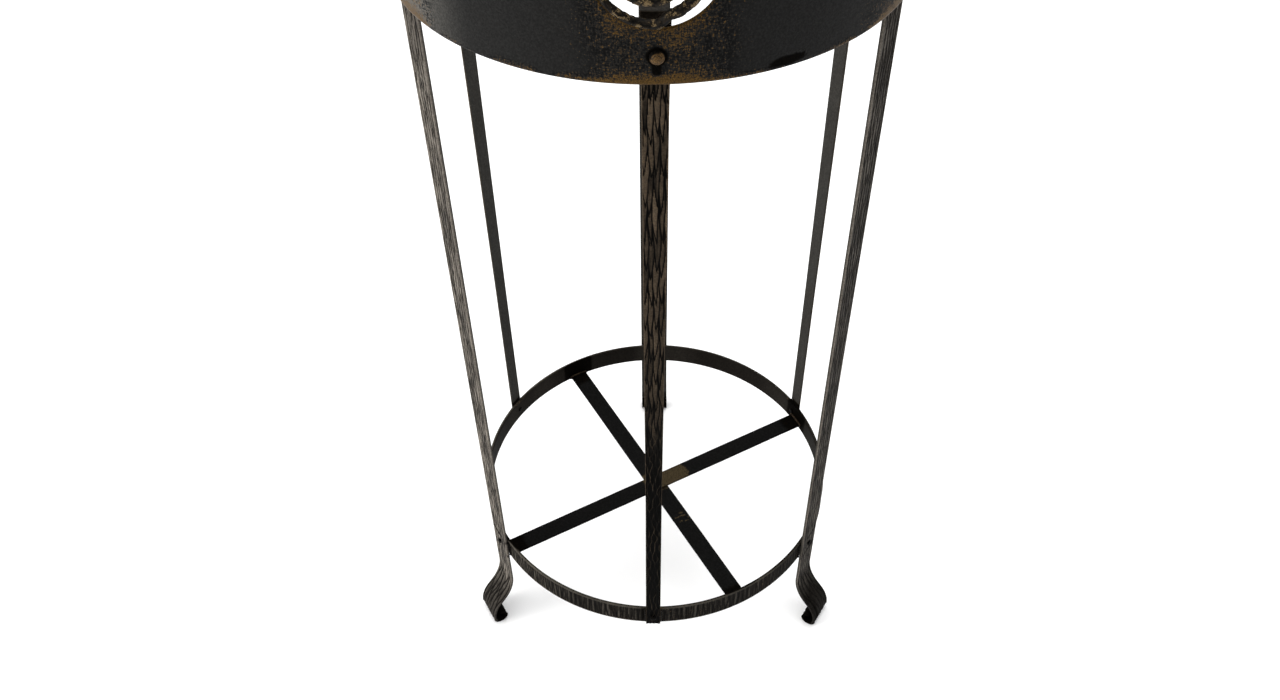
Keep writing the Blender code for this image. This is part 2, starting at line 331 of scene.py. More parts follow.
class Recipe:
    """One material's nodes, added by short calls."""

    def __init__(self, name):
        self.mat = bpy.data.materials.new(name)
        self.mat.use_nodes = True
        self.nodes = self.mat.node_tree.nodes
        self.links = self.mat.node_tree.links
        self.shader = self.nodes["Principled BSDF"]
        self.place = self.nodes.new("ShaderNodeTexCoord").outputs["Object"]

    def feed(self, value, socket):
        """Links a socket, or sets a number or a colour."""
        if isinstance(value, bpy.types.NodeSocket):
            self.links.new(value, socket)
        elif isinstance(value, tuple) and len(value) == 3 and socket.type == "RGBA":
            socket.default_value = (*value, 1.0)
        else:
            socket.default_value = value

    def field(self, name):
        """A number stored on the vertices, 0 where the mesh has none."""
        node = self.nodes.new("ShaderNodeAttribute")
        node.attribute_name = name
        return node.outputs["Fac"]

    def noise(self, scale, detail=3.0, rough=0.55, stretch=(1.0, 1.0, 1.0), shift=0.0):
        mapping = self.nodes.new("ShaderNodeMapping")
        mapping.inputs["Scale"].default_value = stretch
        mapping.inputs["Location"].default_value = (shift, shift * 0.7, shift * 0.3)
        self.links.new(self.place, mapping.inputs["Vector"])
        node = self.nodes.new("ShaderNodeTexNoise")
        node.inputs["Scale"].default_value = scale
        node.inputs["Detail"].default_value = detail
        node.inputs["Roughness"].default_value = rough
        self.links.new(mapping.outputs["Vector"], node.inputs["Vector"])
        return node.outputs["Fac"]

    def plus(self, a, b):
        return self.calc("ADD", a, b)

    def times(self, a, b):
        return self.calc("MULTIPLY", a, b)

    def calc(self, operation, a, b):
        node = self.nodes.new("ShaderNodeMath")
        node.operation = operation
        self.feed(a, node.inputs[0])
        self.feed(b, node.inputs[1])
        return node.outputs[0]

    def step(self, value, low, high, to_low=0.0, to_high=1.0):
        """A smooth step from to_low to to_high as the value goes from low to high."""
        node = self.nodes.new("ShaderNodeMapRange")
        node.interpolation_type = "SMOOTHSTEP"
        node.inputs["From Min"].default_value = low
        node.inputs["From Max"].default_value = high
        node.inputs["To Min"].default_value = to_low
        node.inputs["To Max"].default_value = to_high
        self.links.new(value, node.inputs["Value"])
        return node.outputs["Result"]

    def blend(self, share, a, b):
        """Colour a where share is 0, b where it is 1."""
        node = self.nodes.new("ShaderNodeMix")
        node.data_type = "RGBA"
        self.feed(share, node.inputs[0])
        self.feed(a, node.inputs[6])
        self.feed(b, node.inputs[7])
        return node.outputs[2]

    def bump(self, height, depth):
        node = self.nodes.new("ShaderNodeBump")
        node.inputs["Strength"].default_value = 1.0
        node.inputs["Distance"].default_value = depth
        self.links.new(height, node.inputs["Height"])
        self.links.new(node.outputs["Normal"], self.shader.inputs["Normal"])


def iron(name, paint, worn_and_lit, gold, fine, bump, rough=0.5, index=1.07, weave=0.0,
         sheen_grey=(0.066, 0.066, 0.062)):
    """Black-painted iron with a rubbed tone on the ridges, which also carries painted light, bronze-gold
    rubbing, blackening at welds and in painted shade, and a painted grey sheen.

    Fine is the speckle's scale and bump its depth. Weave breaks the gold into upright and level threads.
    """
    r = Recipe(name)
    relief, rub_and_light = r.field("relief"), r.field("rub_and_light")
    gilt, soot_and_shade = r.field("gold"), r.field("soot_and_shade")
    cloud = r.noise(70.0, 4.0, 0.6)
    speck = r.noise(fine, 3.0, 0.65, shift=3.1)
    sand = r.noise(fine * 2.3, 2.0, 0.6, shift=7.7)

    deep = tuple(c * 0.25 for c in paint)
    pale = tuple(c * 1.9 for c in paint)
    base = r.blend(r.step(speck, 0.35, 0.70), paint, pale)
    base = r.blend(r.step(relief, 0.30, 0.02), base, deep)

    ridge = r.step(relief, 0.30, 0.85)
    # Rubbed share of each ridge; through rub_and_light it also paints light on some pieces.
    wear = r.times(r.times(ridge, rub_and_light), r.step(cloud, 0.20, 0.75, 0.65, 1.0))
    dim = tuple(c * 0.6 for c in worn_and_lit)
    worn_and_lit_tone = r.blend(r.step(speck, 0.36, 0.66), dim, worn_and_lit)
    base = r.blend(wear, base, worn_and_lit_tone)
    # Painted sheen: a flat grey laid over the paint where painted_sheen is set, standing in for the sheen of
    # dark paint.
    dim_sheen = tuple(c * 0.6 for c in sheen_grey)
    base = r.blend(r.field("painted_sheen"), base, r.blend(r.step(speck, 0.36, 0.66), dim_sheen, sheen_grey))

    patch = r.plus(gilt, r.times(r.plus(speck, -0.5), 1.7))
    patch = r.plus(patch, r.times(r.plus(sand, -0.5), 0.9))
    if weave:
        upright = r.noise(fine * 1.5, 1.0, 0.5, (1.0, 1.0, 0.22), 5.3)
        level = r.noise(fine * 1.5, 1.0, 0.5, (0.22, 0.22, 1.0), 9.1)
        patch = r.plus(patch, r.times(r.plus(r.plus(upright, level), -1.0), weave))
        pits = r.times(r.step(patch, 0.30, 0.06), r.step(gilt, 0.04, 0.20))
        base = r.blend(pits, base, deep)
    leaf = r.times(r.step(patch, 0.42, 0.78), r.step(gilt, 0.0, 0.12))
    umber = tuple(c * 0.32 for c in gold)
    base = r.blend(leaf, base, r.blend(r.step(sand, 0.38, 0.66), umber, gold))

    # Black where soot_and_shade is set: weld blackening, and painted shade such as inside the rolled feet.
    soot_and_shade_mask = r.step(r.plus(soot_and_shade, r.times(r.plus(cloud, -0.5), 0.7)), 0.25, 0.75)
    soot_and_shade_mask = r.times(soot_and_shade_mask, r.step(soot_and_shade, 0.0, 0.15))
    soot_and_shade_black = r.blend(r.step(speck, 0.40, 0.70), (0.0015, 0.0014, 0.0013), (0.004, 0.003, 0.002))
    base = r.blend(soot_and_shade_mask, base, soot_and_shade_black)

    r.links.new(base, r.shader.inputs["Base Color"])
    sheen = r.plus(r.times(leaf, -0.10), r.times(r.step(sand, 0.3, 0.7), 0.16))
    r.links.new(r.plus(sheen, rough), r.shader.inputs["Roughness"])
    metal = r.times(leaf, 0.40)
    r.links.new(metal, r.shader.inputs["Metallic"])
    r.shader.inputs["IOR"].default_value = index
    r.links.new(r.step(soot_and_shade_mask, 0.0, 1.0, 0.5, 0.1), r.shader.inputs["Specular IOR Level"])
    r.bump(r.plus(r.times(speck, 0.6), r.times(sand, 0.4)), bump)
    return r.mat


# ---------------------------------------------------------------- bars

def foot_line():
    """Centre line of a leg as (radius, height) from the foot's start to its rolled end."""
    r, z = RING_R + GAP + LEG_T / 2 - LEAN * FOOT_START, -FOOT_START
    heading = -math.atan(LEAN)
    line = [(r, z)]
    for target, bend in ((FOOT_SPLAY, FOOT_OUT_R), (FOOT_SPLAY, None), (0.0, FOOT_BACK_R),
                         (-FOOT_ROLL_TURN, FOOT_ROLL_R)):
        if bend is None:
            for _ in range(5):
                r += FOOT_RUN / 5 * math.sin(heading)
                z -= FOOT_RUN / 5 * math.cos(heading)
                line.append((r, z))
            continue
        turn = target - heading
        steps = max(8, math.ceil(abs(turn) * bend / 0.0007))
        chord = 2 * bend * math.sin(abs(turn) / steps / 2)
        for _ in range(steps):
            heading += turn / steps / 2
            r += chord * math.sin(heading)
            z -= chord * math.cos(heading)
            heading += turn / steps / 2
            line.append((r, z))
    return line


def bar_line(thickness, foot):
    """Centre line of a bar as (radius, height above the ring's mid-height) from the top down."""
    bottom = -FOOT_START if foot else -RING_H / 2
    count = math.ceil((BAR_TOP - bottom) / 0.0008)
    heights = np.linspace(BAR_TOP, bottom, count)
    line = [(RING_R + GAP + thickness / 2 + LEAN * z, z) for z in heights]
    if foot:
        line += foot_line()[1:]
    return np.array(line)


def bar_widths(heights, foot):
    if foot:
        return LEG_W + (FOOT_W - LEG_W) * np.clip((-FOOT_START - heights) / FOOT_OUT_R, 0.0, 1.0)
    rise = np.clip((heights - TAPER_FROM) / (TAPER_TO - TAPER_FROM), 0.0, 1.0)
    flare = np.clip((heights - TAPER_TO) / (BAR_TOP - TAPER_TO), 0.0, 1.0)
    return UPRIGHT_W + (UPRIGHT_TOP_W - UPRIGHT_W) * rise + (UPRIGHT_END_W - UPRIGHT_TOP_W) * flare


def bar_section(width, thickness, columns):
    """Loop round a bar's section as (across, outward, face), where face is 1 on the embossed side."""
    soft = BAR_SOFT
    half, deep = width / 2 - SKIN, thickness / 2 - SKIN
    face = [(y, deep, 1.0) for y in np.linspace(-half + soft, half - soft, columns)]
    quarter = [math.radians(d) for d in (22.5, 45, 67.5, 90)]
    right = [(half - soft + soft * math.sin(a), deep - soft + soft * math.cos(a), 0.5) for a in quarter]
    under = [(half - soft + soft * math.cos(a), -deep + soft - soft * math.sin(a), 0.0)
             for a in [0.0] + quarter]
    back = [(y, -deep, 0.0) for y in np.linspace(half - soft, -half + soft, 9)[1:-1]]
    left = [(-y, out, f) for y, out, f in reversed(right)]
    low = [(-y, out, f) for y, out, f in reversed(under)]
    return np.array(face + right + under + back + low + left)


def bar_pattern(y, v, height, foot, seed):
    """A bar's relief and each leaf's own number: bark on a leg, leaves above pits on an upright."""
    wander = 0.0009 * (grain(v / 0.021, v * 0.0, seed + 9) - 0.5)
    wander += 0.0005 * (grain(v / 0.007, v * 0.0, seed + 8) - 0.5)
    if foot:
        return bark(y + wander + 0.5, v, BARK_W, BARK_L, seed)
    relief, tone = leaves(y + wander + 0.5, v + 0.3, LEAF_W, LEAF_L, seed)
    fine = ridges(y + wander + 0.7, v, FINE_W, FINE_L, seed + 30)
    return fine + (relief - fine) * ramp(height, 0.13, 0.22), tone


def make_bar(name, degrees, thickness, foot, seed, rub_and_light, gold_share, mat, top_shift=0.0, darkened=0.5):
    """A flat bar with an embossed outer face, swept down its centre line.

    Rub_and_light and gold_share are functions of the height above the ring; on the legs rub_and_light is set
    so that the leg facing the key lamp is painted brighter. Darkened sets how much the foot is darkened.
    Top_shift is the angle from the ring joint to the band joint.
    """
    line = bar_line(thickness, foot)
    widths = bar_widths(line[:, 1], foot)
    steps = np.linalg.norm(np.diff(line, axis=0), axis=1)
    down = np.concatenate([[0.0], np.cumsum(steps)])
    tangent = np.gradient(line, axis=0)
    tangent /= np.linalg.norm(tangent, axis=1)[:, None]
    normal = np.stack([-tangent[:, 1], tangent[:, 0]], axis=1)
    columns = 46 if foot else 34      # across the embossed face

    reference = bar_section(widths.max(), thickness, columns)
    around = len(reference)
    across = reference[None, :, 0] * np.ones((len(line), 1))
    edge_gap = widths.max() / 2 - np.abs(across)
    stretch = widths[:, None] / widths.max()
    y = across * stretch
    out = np.broadcast_to(reference[None, :, 1], y.shape).copy()
    face = np.broadcast_to(reference[None, :, 2], y.shape)
    v = down[:, None] * np.ones((1, around))

    height = line[:, 1][:, None] * np.ones((1, around))
    relief, tone = bar_pattern(y, v, height, foot, seed)
    rim = ramp(edge_gap, 0.0, 0.0007)
    relief = np.where(face > 0.6, relief * rim + 0.92 * (1 - rim), 0.9)
    plain = ramp(height, BAR_TOP - 0.014, BAR_TOP - 0.010)     # the top end has no pattern
    relief = relief * (1 - plain) + 0.9 * plain
    out -= np.where(face > 0.6, EMBOSS * (1 - relief), 0.0)

    x = line[:, 0][:, None] + normal[:, 0][:, None] * out
    z = line[:, 1][:, None] + normal[:, 1][:, None] * out + RING_Z
    side_run = BAND_R * math.sin(math.radians(top_shift)) / (BAND_Z - RING_Z + BAND_RIVET_UP)
    y = y + side_run * np.clip(height, 0.0, None)
    verts = turned(np.stack([x, y, z], axis=2).reshape(-1, 3), degrees)
    faces = capped_tube(len(line), around)

    cloud = grain(y / 0.006 + 40, v / 0.018, seed + 20)
    inner = np.where(face > 0.4, 0.0, 1.0)
    # Painted light: a highlight line along both edges of the embossed face, and a little sheen on the inner
    # faces, are added to the rubbing.
    edge_highlight = (1 - ramp(edge_gap, 0.0002, 0.0010)) * (face > 0.4)
    rubbed = rub_and_light(height) * (0.7 + 0.6 * (cloud - 0.5)) * (1 - inner) + 0.10 * inner + 0.30 * edge_highlight
    rubbed *= (1 - darkened * ramp(-height, 0.030, 0.055)) * (1 - 0.6 * plain)
    bronze = gold_share(height) * ramp(tone, 0.25, 0.80) * (face > 0.6) * ramp(relief, 0.2, 0.6) * (1 - plain)
    near_ring = 1 - ramp(np.abs(np.abs(height) - RING_H / 2), 0.0005, 0.0035)
    soot_and_shade = 0.75 * near_ring * (0.4 + 0.6 * cloud)
    if foot:
        # Painted shade: the rolled end of the foot is painted black, standing in for the shade inside the
        # curl.
        rolled = ramp(v, v.max() - 0.022, v.max() - 0.014)
        soot_and_shade = np.maximum(soot_and_shade, np.maximum(0.85 * rolled, 0.7 * darkened * ramp(-height, 0.035, 0.060) * cloud))
    # Painted sheen: a grey sheen painted on the inner faces, fainter on the legs.
    painted_sheen = (0.12 if foot else 0.46) * inner * (0.85 + 0.3 * cloud) * (1 - near_ring)
    fields = {"relief": relief, "rub_and_light": rubbed, "gold": bronze, "soot_and_shade": soot_and_shade, "painted_sheen": painted_sheen}
    return finish_mesh(name, verts, faces, mat, fields)


# ---------------------------------------------------------------- ring

def make_ring(mat):
    """The lower ring, with upright streaks embossed round its outer face."""
    around, scales = 1260, 420        # mesh steps and pressed scales round the ring
    angle = np.linspace(0, math.tau, around, endpoint=False)
    soft = RING_SOFT
    low, high = -RING_H / 2 + SKIN, RING_H / 2 - SKIN
    outer, inner = RING_R - SKIN, RING_R - RING_T + SKIN
    quarter = [math.radians(d) for d in (30, 60, 90)]
    face = [(outer, z, 1.0) for z in np.linspace(low + soft, high - soft, 20)]
    top = [(outer - soft + soft * math.cos(a), high - soft + soft * math.sin(a), 0.5) for a in quarter]
    top += [(inner + soft - soft * math.sin(a), high - soft + soft * math.cos(a), 0.0)
            for a in [0.0] + quarter]
    back = [(inner, z, 0.0) for z in np.linspace(high - soft, low + soft, 7)[1:-1]]
    section = np.array(face + top + back + [(r, -z, f) for r, z, f in reversed(top)])

    theta = angle[:, None] * np.ones((1, len(section)))
    z = section[None, :, 1] * np.ones((around, 1))
    r = section[None, :, 0] * np.ones((around, 1))
    front = section[None, :, 2] * np.ones((around, 1))
    pitch = math.tau * RING_R / scales
    relief, tone = bark(theta * RING_R, z + 0.5, pitch, 0.0150, 31, scales, sway=0.22)
    streak = grain(theta * RING_R / (pitch * 0.5), z / 0.02, 33, scales * 2)
    rim = ramp(RING_H / 2 - np.abs(z), 0.0, 0.0012)
    relief = np.clip(relief * (0.55 + 0.6 * streak), 0.0, 1.0)
    relief = np.where(front > 0.6, relief * rim + 0.9 * (1 - rim), 0.9)
    r = r - np.where(front > 0.6, EMBOSS * 0.8 * (1 - relief), 0.0)
    verts = np.stack([r * np.cos(theta), r * np.sin(theta), z + RING_Z], axis=2).reshape(-1, 3)
    count = len(section)
    faces = tube_faces(around, count)
    last = (around - 1) * count
    faces += [(last + k, last + (k + 1) % count, (k + 1) % count, k) for k in range(count)]

    spread = np.abs(np.mod(theta - math.radians(30) + math.pi / 6, math.pi / 3) - math.pi / 6) * RING_R
    cloud = grain(theta * RING_R / 0.0175, z / 0.03, 35, 42)
    facing = front > 0.4
    # Painted light: the outer face is rubbed brighter towards the left, where the key lamp falls, and darker
    # towards the right.
    lit_side = 0.56 - 0.36 * np.cos(theta)
    rub_and_light = np.where(facing, lit_side * (0.7 + 0.6 * cloud), 0.10 * ramp(cloud, 0.3, 0.8))
    soot_and_shade = (1 - ramp(spread, 0.0050, 0.0135)) * 0.62 * np.where(facing, 1.0, 0.4)
    # The inner face is darker round each crossbar end.
    for name, degrees in CROSS_ENDS:
        aside = CROSS_ASIDE[name.split("_")[0]] * (1 if degrees < 180 else -1)
        run = np.mod(theta - math.radians(degrees) - aside / RING_R + math.pi, math.tau) - math.pi
        darkened = 1 - ramp(np.abs(run) * RING_R, 0.0070, 0.0160)
        soot_and_shade = np.maximum(soot_and_shade, 1.2 * darkened * (1 - facing))
    gold = 0.22 * ramp(cloud, 0.55, 0.9) * facing
    gold += 0.40 * (1 - ramp(spread, 0.003, 0.013)) * (z > 0.0062)
    fields = {"relief": relief, "rub_and_light": rub_and_light, "gold": gold, "soot_and_shade": soot_and_shade}
    return finish_mesh("ring_embossed", verts, faces, mat, fields)


# ---------------------------------------------------------------- band

def band_radius(up):
    """Radius of the band's outer face at a height above its lower edge."""
    return BAND_R - SKIN + LEAN * up


def sector_grid(rows, depth, shift):
    """Points (angle, height above the lower edge) of one sixth of the band, from the hole's edge outward.

    The hole sits at the angle shift from the sector's middle.
    """
    reach = math.pi / 6
    up = np.linspace(0.0, BAND_H, SECTOR_ROWS + 1)
    across = np.linspace(reach, -reach, SECTOR_COLUMNS + 1)
    border = [(reach, h) for h in up[:-1]] + [(a, BAND_H) for a in across[:-1]]
    border += [(-reach, h) for h in up[:0:-1]] + [(a, 0.0) for a in across[:0:-1]]
    border = np.array(border)
    heading = np.arctan2(border[:, 1] - HOLE_UP, (border[:, 0] - shift) * BAND_R)
    hole_y = (HOLE_R + depth) * np.cos(heading)
    hole_h = HOLE_UP + (HOLE_R + depth) * np.sin(heading)
    start = np.stack([shift + np.arcsin(hole_y / band_radius(hole_h)), hole_h], axis=1)
    share = (np.linspace(0.0, 1.0, rows) ** 1.15)[:, None, None]
    return start[None] * (1 - share) + border[None] * share


def band_skin(theta, up, inward):
    """Vertices of the band's outer or inner face, with a faint cast unevenness on the outer one."""
    lumps = 0.5 * grain(theta * BAND_R / 0.0022, up / 0.0022, 51)
    lumps += 0.5 * grain(theta * BAND_R / 0.0011, up / 0.0011, 52)
    rim = np.minimum(up, BAND_H - up)
    tuck = BAND_SOFT * (1 - np.sqrt(np.clip(1 - (1 - np.clip(rim / BAND_SOFT, 0, 1)) ** 2, 0, 1)))
    if inward:
        r = band_radius(up) - BAND_T + 2 * SKIN + tuck
    else:
        r = band_radius(up) - tuck - 0.00016 * (1 - lumps) * ramp(rim, 0.0, 0.001)
    z = BAND_Z + SKIN + up * (1 - 2 * SKIN / BAND_H)
    return np.stack([r * np.cos(theta), r * np.sin(theta), z], axis=-1)


def make_band(mat):
    """The sheet band with its six holes: outer and inner faces, hole rims and edges."""
    verts, faces = [], []
    first = 0
    soft = BAND_T / 2

    def add(points, closed):
        nonlocal first
        rows, columns = points.shape[:2]
        verts.append(points.reshape(-1, 3))
        faces.extend(tube_faces(rows, columns, first) if closed else sheet_faces(rows, columns, first))
        first += rows * columns

    for side, centre in SIDES.items():
        base = math.radians(round(centre / 60 - 0.5) * 60 + 30)
        shift = math.radians(centre + HOLE_SHIFTS.get(side, 0.0)) - base
        outer, inner = sector_grid(38, soft, shift), sector_grid(9, soft, shift)
        outer_skin = band_skin(outer[..., 0] + base, outer[..., 1], False)
        inner_skin = band_skin(inner[..., 0] + base, inner[..., 1], True)
        add(outer_skin, True)
        add(inner_skin, True)
        # The hole's rounded rim is swung from the outer face to the inner one.
        hub = base + shift
        middle = np.array([math.cos(hub) * BAND_R, math.sin(hub) * BAND_R, BAND_Z + HOLE_UP])
        outward = np.array([math.cos(hub), math.sin(hub), 0.0])
        a, b = outer_skin[0], inner_skin[0]
        towards = (middle - a) - ((middle - a) @ outward)[:, None] * outward
        towards /= np.linalg.norm(towards, axis=1)[:, None]
        rim = [a]
        for turn in np.linspace(0, math.pi, 8)[1:-1]:
            rim.append((a + b) / 2 + (a - b) / 2 * math.cos(turn) + towards * soft * math.sin(turn))
        rim.append(b)
        add(np.array(rim), True)
    edge = np.linspace(0.0, math.tau, SECTOR_COLUMNS * 6 + 1) + math.pi / 6 + math.radians(30)
    for up in (0.0, BAND_H):
        flat = np.full(edge.shape, up)
        add(np.array([band_skin(edge, flat, False), band_skin(edge, flat, True)]), False)
    obj = finish_mesh("band_pierced", np.concatenate(verts), faces, mat, weld=0.00002)
    paint_band(obj)
    return obj


def paint_band(obj):
    """Gold round the holes and along the lower edge, black round the rivets, and a painted grey sheen at the
    far left.
    """
    co = coordinates(obj)
    theta = np.arctan2(co[:, 1], co[:, 0])
    r = np.hypot(co[:, 0], co[:, 1])
    up = co[:, 2] - BAND_Z
    spread = np.mod(theta, math.pi / 3) - math.pi / 6
    ahead = np.abs(np.mod(theta + math.pi / 2 + math.pi, math.tau) - math.pi) < math.pi / 6
    spread = (spread - np.where(ahead, math.radians(HOLE_SHIFTS["front"]), 0.0)) * BAND_R
    front = r > band_radius(up) - BAND_T / 2
    from_hole = np.hypot(spread, up - HOLE_UP) - HOLE_R
    from_rivet = np.hypot(spread, up - BAND_RIVET_UP)
    cloud = grain(theta * BAND_R / 0.011 + 90, up / 0.009, 53)
    middle = 1 - ramp(np.abs(spread), 0.012, 0.050)     # 1 under a hole, 0 between two holes
    heart = 0.19 + 0.25 * middle
    heart *= 0.75 + 0.6 * (cloud - 0.5)
    # Along the lower edge: a solid stretch under each hole and a broken hem all round.
    low_edge = (1 - ramp(up, 0.0008, 0.0090)) * (1 - ramp(np.abs(spread), 0.010, 0.030))
    worn_edge = grain(theta * BAND_R / 0.010 + 70, theta * 0.0, 57)
    hem = (1 - ramp(up, 0.0004, 0.0008 + 0.0040 * worn_edge)) * ramp(worn_edge, 0.25, 0.65)
    sideways = np.abs(np.mod(theta, math.pi) - math.pi / 2)
    # Speckled gold towards both sides of the band, partly patina and partly a painted sheen where the band
    # turns away.
    side_dust_and_sheen = 0.36 * ramp(sideways, 0.95, 1.45) * (0.4 + 0.8 * cloud)
    glaze = (1 - ramp(from_hole, 0.0005, 0.011)) * (1 - ramp(np.abs(spread), 0.012, 0.030)) * (up < HOLE_UP)
    gold = np.clip(heart * middle + 0.62 * low_edge + 0.55 * hem + 0.22 * glaze + side_dust_and_sheen, 0, 1) * front
    # Black round the rivet and below it, and one black mark on the lower edge.
    halo = (1 - ramp(from_rivet, 0.0036, 0.0052)) * 0.9
    drip = (1 - ramp(np.abs(spread), 0.0010, 0.0030)) * ramp(up, 0.0030, 0.0062) * (up < BAND_RIVET_UP)
    beside_blot = (np.mod(theta, math.tau) - math.radians(296.6)) * BAND_R
    blot = np.hypot(beside_blot / 0.0100, (up - 0.0032) / 0.0032)
    blot += 0.5 * (grain(theta * BAND_R / 0.003 + 30, up / 0.002, 59) - 0.5)
    soot_and_shade = np.clip(np.maximum(np.maximum(halo, drip), 1 - ramp(blot, 0.4, 1.25)), 0, 1) * front
    lip = 0.35 * (1 - ramp(np.abs(from_hole - 0.0002), 0.0003, 0.0009))
    gold = np.clip(gold * (1 - soot_and_shade) + lip * front, 0, 1)
    rub_and_light = np.where(front, 0.25 + 0.25 * middle, 0.08)
    relief = np.where(front, 0.85, 0.9)
    # Painted sheen: grey painted on the band's far left, where it turns away, in place of a grazing sheen.
    painted_sheen = ramp(np.cos(theta - math.radians(196)), 0.78, 0.99) * front * (0.7 + 0.3 * cloud)
    set_fields(obj, {"relief": relief, "rub_and_light": rub_and_light, "gold": gold, "soot_and_shade": soot_and_shade, "painted_sheen": painted_sheen})


# ---------------------------------------------------------------- rods, rivets, welds, crossbars

def sweep(name, path, radii, around, fields, mat, knurl):
    """A round tube down a path, rounded at both ends.

    Knurl gives the relief and its depth, and a field may be a number or a function of the place on the tube.
    """
    path = np.asarray(path, float)
    steps = np.linalg.norm(np.diff(path, axis=0), axis=1)
    along = np.concatenate([[0.0], np.cumsum(steps)])
    tangent = np.gradient(path, axis=0)
    tangent /= np.linalg.norm(tangent, axis=1)[:, None]
    side = np.zeros_like(path)
    guide = np.array([path[0][0], path[0][1], 0.0])
    for i, t in enumerate(tangent):
        guide = guide - (guide @ t) * t
        guide /= np.linalg.norm(guide)
        side[i] = guide
    other = np.cross(tangent, side)
    tip = np.minimum(along, along[-1] - along)
    cap = np.sqrt(np.clip(1 - (1 - np.clip(tip / np.maximum(radii, 1e-6), 0, 1)) ** 2, 0.0, 1.0))
    turn = np.linspace(0, math.tau, around, endpoint=False)
    u = turn[None, :] * np.ones((len(path), 1))
    v = along[:, None] * np.ones((1, around))
    relief, drop = knurl(u, v)
    r = (radii * np.maximum(cap, 0.02))[:, None] - drop * cap[:, None]
    verts = (path[:, None, :] + side[:, None, :] * (np.cos(turn)[None, :, None] * r[..., None])
             + other[:, None, :] * (np.sin(turn)[None, :, None] * r[..., None]))
    faces = capped_tube(len(path), around)
    values = {"relief": relief}
    for key, value in fields.items():
        values[key] = value(u, v, relief) if callable(value) else value
    return finish_mesh(name, verts.reshape(-1, 3), faces, mat, values)


def make_scroll(side, degrees, seed, mat):
    """A textured rod bent into a spiral in the hole, thin at its outer end.

    It follows the hole's edge up to the angle SCROLL_LAP, kinks inward there and then winds in.
    """
    turn = np.linspace(SCROLL_FROM, SCROLL_TO, 460)
    coil = np.clip((turn - SCROLL_LAP) / SCROLL_COIL, 0.0, None)
    r = SCROLL_R - SCROLL_KINK * ramp(turn - SCROLL_LAP, 0.0, 0.26) - SCROLL_SHRINK * coil ** SCROLL_POWER
    mid = BAND_R + LEAN * HOLE_UP + SCROLL_PROUD
    around = (SCROLL_EYE[0] + r * np.cos(turn)) / mid
    up = SCROLL_EYE[1] + r * np.sin(turn)
    path = np.stack([mid * np.cos(around), mid * np.sin(around), BAND_Z + HOLE_UP + up], axis=1)
    full = np.clip((turn - SCROLL_FROM) / (SCROLL_FULL - SCROLL_FROM), 0.0, 1.0)
    radii = (ROD_R - SKIN) * (SCROLL_TIP + (1 - SCROLL_TIP) * full)

    def knurl(u, v):
        twist = u * ROD_R + 0.30 * v
        relief, tone = bark(np.mod(twist, math.tau * ROD_R), v, math.tau * ROD_R / 8, 0.0045, seed, 8)
        return relief, 0.00055 * (1 - relief)

    def bronze(u, v, relief):
        spots = grain(u * 3 / math.tau + v / 0.005, v / 0.0025, seed + 3)
        return np.clip(0.18 + 0.42 * ramp(relief, 0.3, 0.9) + 1.1 * (spots - 0.5), 0.0, 1.0)

    fields = {"rub_and_light": 0.5, "gold": bronze, "soot_and_shade": 0.0}
    return sweep("scroll_rod_" + side, turned(path, degrees), radii, 22, fields, mat, knurl)


def make_rivet(name, size, grip, degrees, radius, height, shine, mat, seed):
    """A domed rivet: hammered head outside, shank and flattened tail inside.

    Size is the head's radius and height, the shank's radius, and the tail's radius and height. Shine runs
    from 0, a black rivet, to 1, a bronze one.
    """
    head, dome, shank, tail, tail_h = size
    head, dome = head - SKIN, dome - SKIN
    arc = [(head * math.sin(a), dome * math.cos(a)) for a in np.radians(np.linspace(2, 90, 12))]
    end = -grip - tail_h + SKIN
    profile = arc + [(head * 0.98, 0.0), (shank, 0.0), (shank, -grip), (tail, -grip),
                     (tail * 0.97, -grip - tail_h * 0.6), (tail * 0.7, end), (tail * 0.05, end)]
    around = 40
    turn = np.linspace(0, math.tau, around, endpoint=False)
    rows = []
    for i, (r, z) in enumerate(profile):
        dent = 0.00012 * (grain(np.cos(turn) * r / 0.0011 + 9, np.sin(turn) * r / 0.0011 + 9, seed) - 0.2)
        out = z - (dent if i < len(arc) - 1 else 0.0) * np.ones(around)
        rows.append(np.stack([radius + out, r * np.sin(turn), height + r * np.cos(turn)], axis=1))
    verts = turned(np.concatenate(rows), degrees)
    faces = capped_tube(len(profile), around)
    reach = np.repeat([r / head for r, z in profile], around)
    on_head = np.repeat([1.0 if z > -1e-9 else 0.0 for r, z in profile], around)
    angle = np.tile(turn, len(profile))
    # A dark crescent along the upper rim of the head.
    crescent = ramp(np.cos(angle + 0.6), 0.0, 0.8) * ramp(reach, 0.62, 0.85)
    gold = on_head * shine * (0.80 - 0.30 * (1 - ramp(np.abs(reach - 0.55), 0.0, 0.10))) * (reach < 0.95)
    soot_and_shade = np.maximum(np.maximum(0.7 * (reach >= 0.95), 0.8 * crescent), 1 - 0.2 * shine - 0.8 * on_head)
    soot_and_shade = np.maximum(soot_and_shade, (1 - shine) * 0.9)
    return finish_mesh(name, verts, faces, mat, {"relief": 0.9, "rub_and_light": 0.4, "gold": gold, "soot_and_shade": soot_and_shade})


def make_weld(name, points, radius, seed, soot_and_shade, gold, mat):
    """A rippled bead of weld metal along a short path."""
    points = np.asarray(points, float)
    count = 40
    where = np.linspace(0, len(points) - 1, count)
    path = np.stack([np.interp(where, range(len(points)), points[:, n]) for n in range(3)], axis=1)
    ripple = 0.82 + 0.18 * np.abs(np.sin(np.linspace(0, 5.5 * math.pi, count) + seed))
    radii = radius * ripple * (0.9 + 0.2 * grain(where * 3.0, where * 0, seed))

    def lumps(u, v):
        return np.full(u.shape, 0.7), radius * 0.25 * grain(u / 1.1, v / 0.0009, seed + 2)

    return sweep(name, path, radii, 14, {"rub_and_light": 0.3, "gold": gold, "soot_and_shade": soot_and_shade}, mat, lumps)


